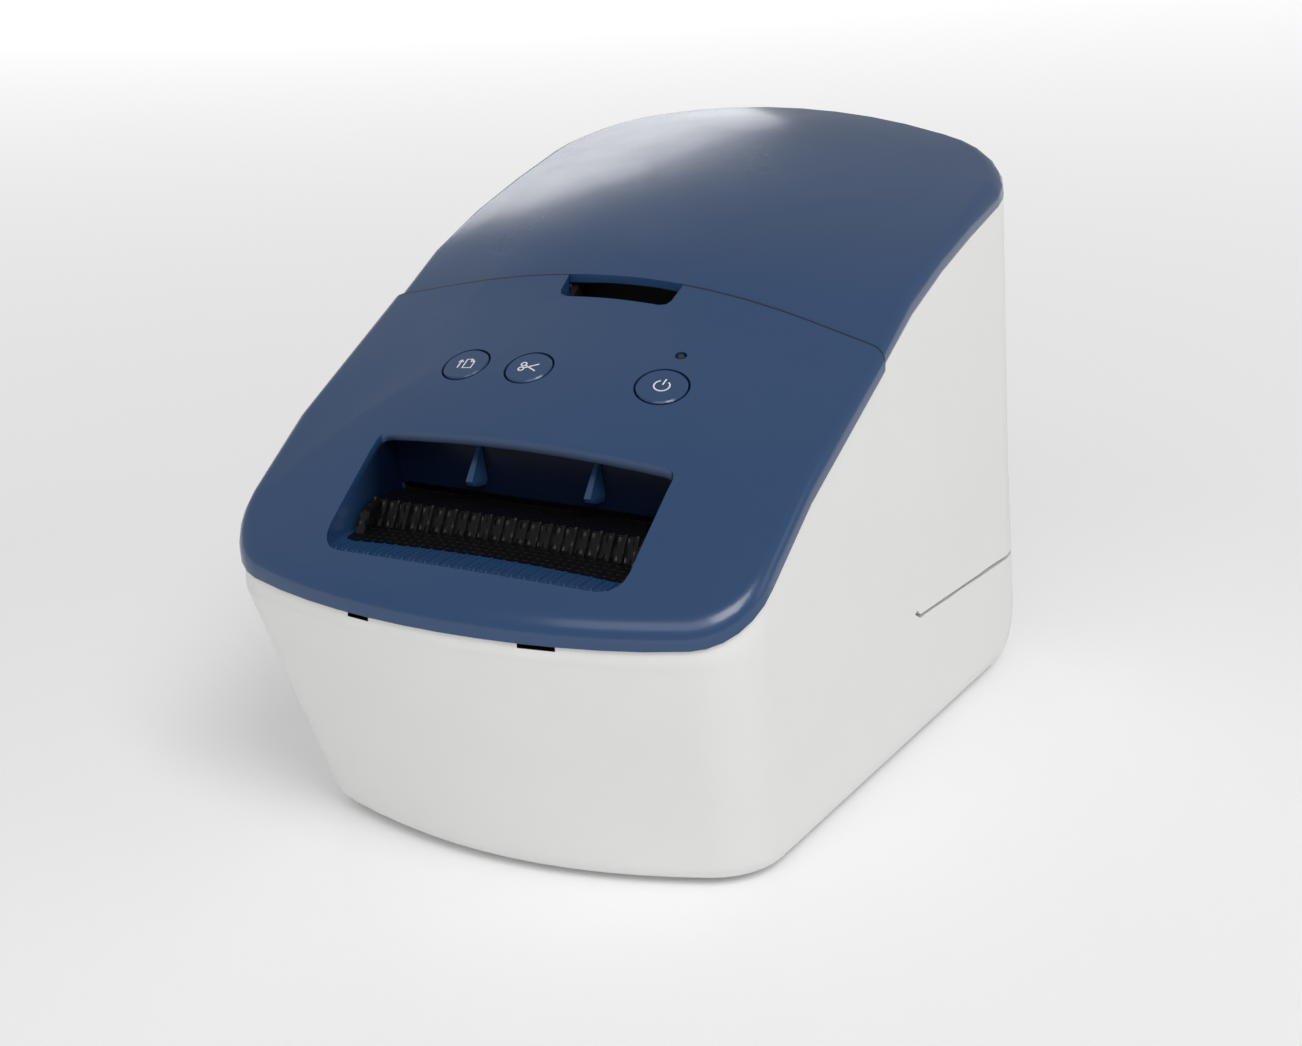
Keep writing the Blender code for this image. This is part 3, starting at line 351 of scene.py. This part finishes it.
def cover_blue():
    """Glossy blue covers, with a painted shadow line along the seam and painted shade inside the outlet."""
    surface = plastic("cover_blue", (0.020, 0.060, 0.152), 0.24, 2600.0, 0.10)
    surface.shader.inputs["Coat Weight"].default_value = 0.25
    surface.shader.inputs["Coat Roughness"].default_value = 0.12
    scratches(surface, 0.5)
    seam_shadow(surface)
    outlet_shade(surface)
    return surface.material


def case_white():
    """White case, with painted shade inside the rim slots."""
    surface = plastic("case_white", (0.80, 0.80, 0.79), 0.40, 3200.0, 0.22)
    slot_shadow(surface)
    return surface.material


def guide_black():
    """Black label guide with rows of small studs."""
    surface = plastic("guide_black", (0.0045, 0.0045, 0.005), 0.26, 2400.0, 0.06)
    surface.shader.inputs["Specular IOR Level"].default_value = 0.28
    studs(surface, 0.0029, math.radians(45))
    return surface.material


def label_paper():
    """Wound label stock: white on the outside, with the fine rings of its layers on the ends."""
    surface = base_material("label_paper", (0.84, 0.83, 0.80), 0.62)
    tree = surface.tree
    from_axis = vector_maths(tree, "SUBTRACT", surface.where, ROLL_AXIS_M)
    flat = vector_maths(tree, "MULTIPLY", from_axis, (0.0, 1.0, 1.0))
    radius = vector_maths(tree, "LENGTH", flat)
    rings = maths(tree, "SINE", maths(tree, "MULTIPLY", radius, 2 * math.pi / RING_PITCH_M))
    add_bump(surface, rings, strength=0.35, distance=0.00008)
    return surface.material


def board_green():
    """Green board with faint lighter tracks under the lacquer."""
    surface = base_material("board_green", (0.012, 0.115, 0.045), 0.32)
    cells = node(surface.tree, "ShaderNodeTexVoronoi", distance="MANHATTAN", feature="F1")
    cells.inputs["Scale"].default_value = 260.0
    surface.tree.links.new(surface.where, cells.inputs["Vector"])
    tracks = ramp(surface.tree, cells.outputs["Distance"], 0.42, 0.5)
    tint(surface, (0.03, 0.20, 0.08), tracks)
    add_bump(surface, tracks, strength=0.2, distance=0.00004)
    return surface.material


def make_materials():
    """Every material by the name of its slot. The plain ones need only a colour, roughness and grain."""
    plain = {
        "dark_plastic": ((0.010, 0.010, 0.011), 0.42, 2400.0, 0.25),
        "grey_plastic": ((0.17, 0.175, 0.185), 0.48, 2600.0, 0.25),
        "gear_white": ((0.72, 0.71, 0.65), 0.36, 1800.0, 0.08),
        "light_pipe": ((0.02, 0.03, 0.03), 0.12, 800.0, 0.02),
        "rubber": ((0.018, 0.018, 0.018), 0.82, 3600.0, 0.5),
        "card_core": ((0.36, 0.25, 0.15), 0.85, 900.0, 0.5),
        "print_white": ((0.82, 0.83, 0.84), 0.45, 1500.0, 0.05),
    }
    made = {name: plastic(name, *look).material for name, look in plain.items()}
    made["cover_blue"] = cover_blue()
    made["case_white"] = case_white()
    made["guide_black"] = guide_black()
    made["label_paper"] = label_paper()
    made["board_green"] = board_green()
    made["steel"] = metal("steel", (0.56, 0.56, 0.57), 0.27, (90.0, 2600.0, 2600.0))
    made["aluminium"] = metal("aluminium", (0.74, 0.75, 0.77), 0.36, (2200.0, 120.0, 2200.0))
    return made


def dress_nodes():
    """Gives each node of the frame its material."""
    for entry in frame["record"]["subparts"]:
        slot = entry["material_slot"]
        if entry["node"] == "label_guide":
            slot = "guide_black"
        data = nodes[entry["node"]].data
        data.materials.clear()
        data.materials.append(materials[slot])


# ---------------------------------------------------------------- smooth shading

def smooth_group():
    """Node group that welds the facets and shades gentle edges smooth, leaving every point where it is."""
    group = bpy.data.node_groups.new("smooth_by_angle", "GeometryNodeTree")
    group.interface.new_socket("Geometry", in_out="INPUT", socket_type="NodeSocketGeometry")
    group.interface.new_socket("Geometry", in_out="OUTPUT", socket_type="NodeSocketGeometry")
    start = node(group, "NodeGroupInput")
    end = node(group, "NodeGroupOutput")
    drop = node(group, "GeometryNodeRemoveAttribute")
    drop.inputs["Name"].default_value = "custom_normal"
    weld = node(group, "GeometryNodeMergeByDistance")
    weld.inputs["Distance"].default_value = WELD_DISTANCE_M
    angle = node(group, "GeometryNodeInputMeshEdgeAngle")
    gentle = node(group, "FunctionNodeCompare", data_type="FLOAT", operation="LESS_THAN")
    gentle.inputs["B"].default_value = SMOOTH_BELOW
    faces = node(group, "GeometryNodeSetShadeSmooth", domain="FACE")
    edges = node(group, "GeometryNodeSetShadeSmooth", domain="EDGE")
    group.links.new(start.outputs[0], drop.inputs["Geometry"])
    group.links.new(drop.outputs["Geometry"], weld.inputs["Geometry"])
    group.links.new(weld.outputs["Geometry"], faces.inputs["Geometry"])
    group.links.new(faces.outputs["Geometry"], edges.inputs["Geometry"])
    group.links.new(angle.outputs["Unsigned Angle"], gentle.inputs["A"])
    group.links.new(gentle.outputs["Result"], edges.inputs["Shade Smooth"])
    group.links.new(edges.outputs["Geometry"], end.inputs[0])
    return group


def smooth_nodes():
    """Smooth shading for every node except those with teeth or ribs, which stay crisp."""
    group = smooth_group()
    for entry in frame["record"]["subparts"]:
        if entry["node"] in CRISP:
            continue
        modifier = nodes[entry["node"]].modifiers.new("smooth_by_angle", "NODES")
        modifier.node_group = group
        weighted = nodes[entry["node"]].modifiers.new("weighted_normals", "WEIGHTED_NORMAL")
        weighted.keep_sharp = True


# ---------------------------------------------------------------- extra pieces

def mesh_piece(name, bm, slot, body):
    """Makes an object of a bmesh and lets it ride on a body."""
    bmesh.ops.recalc_face_normals(bm, faces=bm.faces)
    mesh = bpy.data.meshes.new(name)
    bm.to_mesh(mesh)
    bm.free()
    mesh.materials.append(materials[slot])
    obj = bpy.data.objects.new(name, mesh)
    bpy.context.scene.collection.objects.link(obj)
    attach(obj, body)


def skin(bm, rows, closed=False):
    """Faces around rows of four points, from each row to the next, with flat ends unless closed."""
    pairs = list(zip(rows, rows[1:]))
    if closed:
        pairs.append((rows[-1], rows[0]))
    for low, high in pairs:
        for i in range(4):
            j = (i + 1) % 4
            bm.faces.new((low[i], low[j], high[j], high[i]))
    if not closed:
        bm.faces.new(rows[0][::-1])
        bm.faces.new(rows[-1])


def stroke(bm, points, place, closed):
    """Flat ribbon with thickness along a line of (across, up) points, in millimetres on a button's face."""
    count = len(points)
    rows = []
    for i, (across, up) in enumerate(points):
        before = points[i - 1] if i > 0 or closed else points[i]
        after = points[(i + 1) % count] if i < count - 1 or closed else points[i]
        run = Vector((after[0] - before[0], after[1] - before[1])).normalized()
        side = Vector((-run.y, run.x)) * STROKE_WIDTH / 2
        left = (across + side.x, up + side.y)
        right = (across - side.x, up - side.y)
        corners = [
            place(*left, STROKE_BOTTOM),
            place(*right, STROKE_BOTTOM),
            place(*right, STROKE_TOP),
            place(*left, STROKE_TOP),
        ]
        rows.append([bm.verts.new(corner) for corner in corners])
    skin(bm, rows, closed)


def arc(centre, radius, start, end, steps):
    """Points along an arc, with the angles in degrees."""
    angles = [math.radians(start + (end - start) * i / steps) for i in range(steps + 1)]
    return [(centre[0] + radius * math.cos(a), centre[1] + radius * math.sin(a)) for a in angles]


def power_symbol():
    """Broken ring with an upright stroke, as lists of points and whether each is closed."""
    return [
        (arc((0, 0), 1.75, 122, 418, 28), False),
        ([(0, 0.35), (0, 2.35)], False),
    ]


def feed_symbol():
    """Page with a folded corner, and an arrow beside it."""
    return [
        ([(-0.2, -1.6), (-0.2, 1.6), (1.1, 1.6), (2.0, 0.7), (2.0, -1.6)], True),
        ([(1.1, 1.6), (1.1, 0.7), (2.0, 0.7)], False),
        ([(-1.5, -1.5), (-1.5, 1.3)], False),
        ([(-2.1, 0.6), (-1.5, 1.4), (-0.9, 0.6)], False),
    ]


def scissors_symbol():
    """Two crossed blades with a ring on each."""
    return [
        ([(-0.9, -0.45), (2.1, 1.25)], False),
        ([(-0.9, 0.45), (2.1, -1.25)], False),
        (arc((-1.55, 0.85), 0.62, 0, 345, 15), True),
        (arc((-1.55, -0.85), 0.62, 0, 345, 15), True),
    ]


def on_face(joint):
    """Function that places (across, up, height), in millimetres on a button's face, in the frame."""
    out = -Vector(joint["axis"]).normalized()
    up = (Vector((0, 1, 0)) - out * out.y).normalized()
    across = up.cross(out)
    centre = Vector(joint["pos_m"]) + out * SYMBOL_LIFT * MM

    def place(a, b, height):
        return centre + (across * a + up * b + out * height) * MM

    return place


def symbols():
    """Generic printed symbols on the three buttons."""
    drawings = {"feed_press": feed_symbol(), "cut_press": scissors_symbol(), "power_press": power_symbol()}
    for joint in frame["joints"]:
        if joint["name"] not in drawings:
            continue
        place = on_face(joint)
        bm = bmesh.new()
        for points, closed in drawings[joint["name"]]:
            stroke(bm, points, place, closed)
        mesh_piece(joint["child"] + "_symbol", bm, "print_white", joint["child"])


def ledge_top(x):
    """Height of the outlet's blue ledge at x."""
    u = x / COVER_HALF
    return LEDGE_HEIGHT - LEDGE_SHARE * (CROWN_FALL * u**2 - CROWN_RISE * u**6)


def ledge_front(x, setback):
    """Front end of a rib at x, a setback behind the ledge's own front."""
    front = LEDGE_FRONT + LEDGE_BOW * (x / WINDOW_HALF) ** 2 + setback
    into_corner = abs(x) - (WINDOW_HALF - WINDOW_CORNER)
    if into_corner > 0:
        front += WINDOW_CORNER - math.sqrt(WINDOW_CORNER**2 - into_corner**2)
    return front


def ledge_rib(bm, x, half, height, setback):
    """One rib with a sloping front and rear, sunk slightly into the ledge."""
    top = ledge_top(x)
    bottom = top - RIB_SUNK
    front = ledge_front(x, setback)
    profile = (
        (front, 0.0),
        (front + RIB_FRONT_SLOPE, height),
        (RIB_REAR - RIB_REAR_SLOPE, height),
        (RIB_REAR, 0.0),
    )
    rows = []
    for y, lift in profile:
        corners = [
            (x - half, y, bottom),
            (x + half, y, bottom),
            (x + half * 0.5, y, top + lift),
            (x - half * 0.5, y, top + lift),
        ]
        rows.append([bm.verts.new(Vector(corner) * MM) for corner in corners])
    skin(bm, rows)


def ledge_ribs():
    """Low ribs across the outlet's ledge, with finer lines between them."""
    bm = bmesh.new()
    for i in range(-RIBS_EACH_SIDE, RIBS_EACH_SIDE + 1):
        if i % 2 == 0:
            ledge_rib(bm, i * RIB_PITCH, half=0.28, height=0.45, setback=0.9)
        else:
            ledge_rib(bm, i * RIB_PITCH, half=0.14, height=0.16, setback=1.6)
    mesh_piece("ledge_ribs", bm, "cover_blue", "case")


# ---------------------------------------------------------------- stage, light and camera

def floor_material():
    """Pale matt floor with a glow that grows with distance, in metres from the object."""
    material = bpy.data.materials.new("stage_floor")
    material.use_nodes = True
    tree = material.node_tree
    shader = tree.nodes["Principled BSDF"]
    shader.inputs["Base Color"].default_value = (0.93, 0.93, 0.93, 1.0)
    shader.inputs["Roughness"].default_value = 0.9
    shader.inputs["Emission Color"].default_value = (1.0, 1.0, 1.0, 1.0)
    away = vector_maths(tree, "LENGTH", node(tree, "ShaderNodeTexCoord").outputs["Object"])
    glow = ramp(tree, away, 0.25, 2.2, 0.08, 0.62)
    tree.links.new(glow, shader.inputs["Emission Strength"])
    return material


def stage_floor():
    """Floor that brightens with distance, so that it meets the white surroundings without a line."""
    half_m = 9.0
    corners = [(-half_m, -half_m, 0), (half_m, -half_m, 0), (half_m, half_m, 0), (-half_m, half_m, 0)]
    mesh = bpy.data.meshes.new("floor")
    mesh.from_pydata(corners, [], [(0, 1, 2, 3)])
    mesh.materials.append(floor_material())
    floor = bpy.data.objects.new("floor", mesh)
    bpy.context.scene.collection.objects.link(floor)


def area_light(name, position, target, size, power):
    """White rectangular light aimed at a target, in metres and watts."""
    lamp = bpy.data.lights.new(name, "AREA")
    lamp.shape = "RECTANGLE"
    lamp.size = size[0]
    lamp.size_y = size[1]
    lamp.energy = power
    obj = bpy.data.objects.new(name, lamp)
    obj.location = position
    obj.rotation_euler = (Vector(target) - Vector(position)).to_track_quat("-Z", "Y").to_euler()
    bpy.context.scene.collection.objects.link(obj)


def lights():
    """Large soft key from the front right, a panel behind the left and two weak fills."""
    middle = (0.0, 0.0, 0.07)
    area_light("key", (1.1, -1.05, 1.7), middle, (0.9, 0.9), 19.0)
    area_light("back_panel", (-1.05, 1.5, 0.70), (0.0, 0.0, 0.12), (0.7, 0.5), 2.2)
    area_light("side_fill", (1.6, 0.3, 0.8), middle, (0.9, 0.9), 2.0)
    area_light("front_fill", (0.25, -1.6, 1.5), middle, (1.2, 0.8), 5.0)


def camera():
    """Camera at the photographed angle, turned slightly aside so that the picture needs no lens shift."""
    azimuth = math.radians(25.766)
    elevation = math.radians(17.883)
    roll = math.radians(-0.504)
    turn_right = 0.005862
    turn_up = 0.017024
    position_m = (0.24212, -0.50162, 0.24472)

    level = math.cos(elevation)
    back = Vector((math.sin(azimuth) * level, -math.cos(azimuth) * level, math.sin(elevation)))
    flat_right = Vector((math.cos(azimuth), math.sin(azimuth), 0.0))
    flat_up = back.cross(flat_right)
    right = flat_right * math.cos(roll) + flat_up * math.sin(roll)
    up = flat_up * math.cos(roll) - flat_right * math.sin(roll)
    back = (back + right * turn_right + up * turn_up).normalized()
    right = (right - back * right.dot(back)).normalized()

    lens = bpy.data.cameras.new("camera")
    lens.sensor_width = 36.0
    lens.lens = 67.4
    lens.clip_start = 0.01
    lens.clip_end = 20.0
    obj = bpy.data.objects.new("camera", lens)
    turn = Matrix((right, back.cross(right), back)).transposed().to_4x4()
    obj.matrix_world = Matrix.Translation(position_m) @ turn
    bpy.context.scene.collection.objects.link(obj)
    bpy.context.scene.camera = obj


def world():
    """Pale surroundings: white where the camera sees them, dimmer as a source of light."""
    made = bpy.data.worlds.new("studio")
    made.use_nodes = True
    tree = made.node_tree
    sky = tree.nodes["Background"]
    sky.inputs["Color"].default_value = (1.0, 1.0, 1.0, 1.0)
    seen = node(tree, "ShaderNodeLightPath").outputs["Is Camera Ray"]
    tree.links.new(ramp(tree, seen, 0.0, 1.0, 0.40, 1.0), sky.inputs["Strength"])
    bpy.context.scene.world = made


materials = make_materials()
dress_nodes()
smooth_nodes()
symbols()
ledge_ribs()
stage_floor()
world()
lights()
camera()
bpy.context.scene.view_settings.view_transform = "Standard"
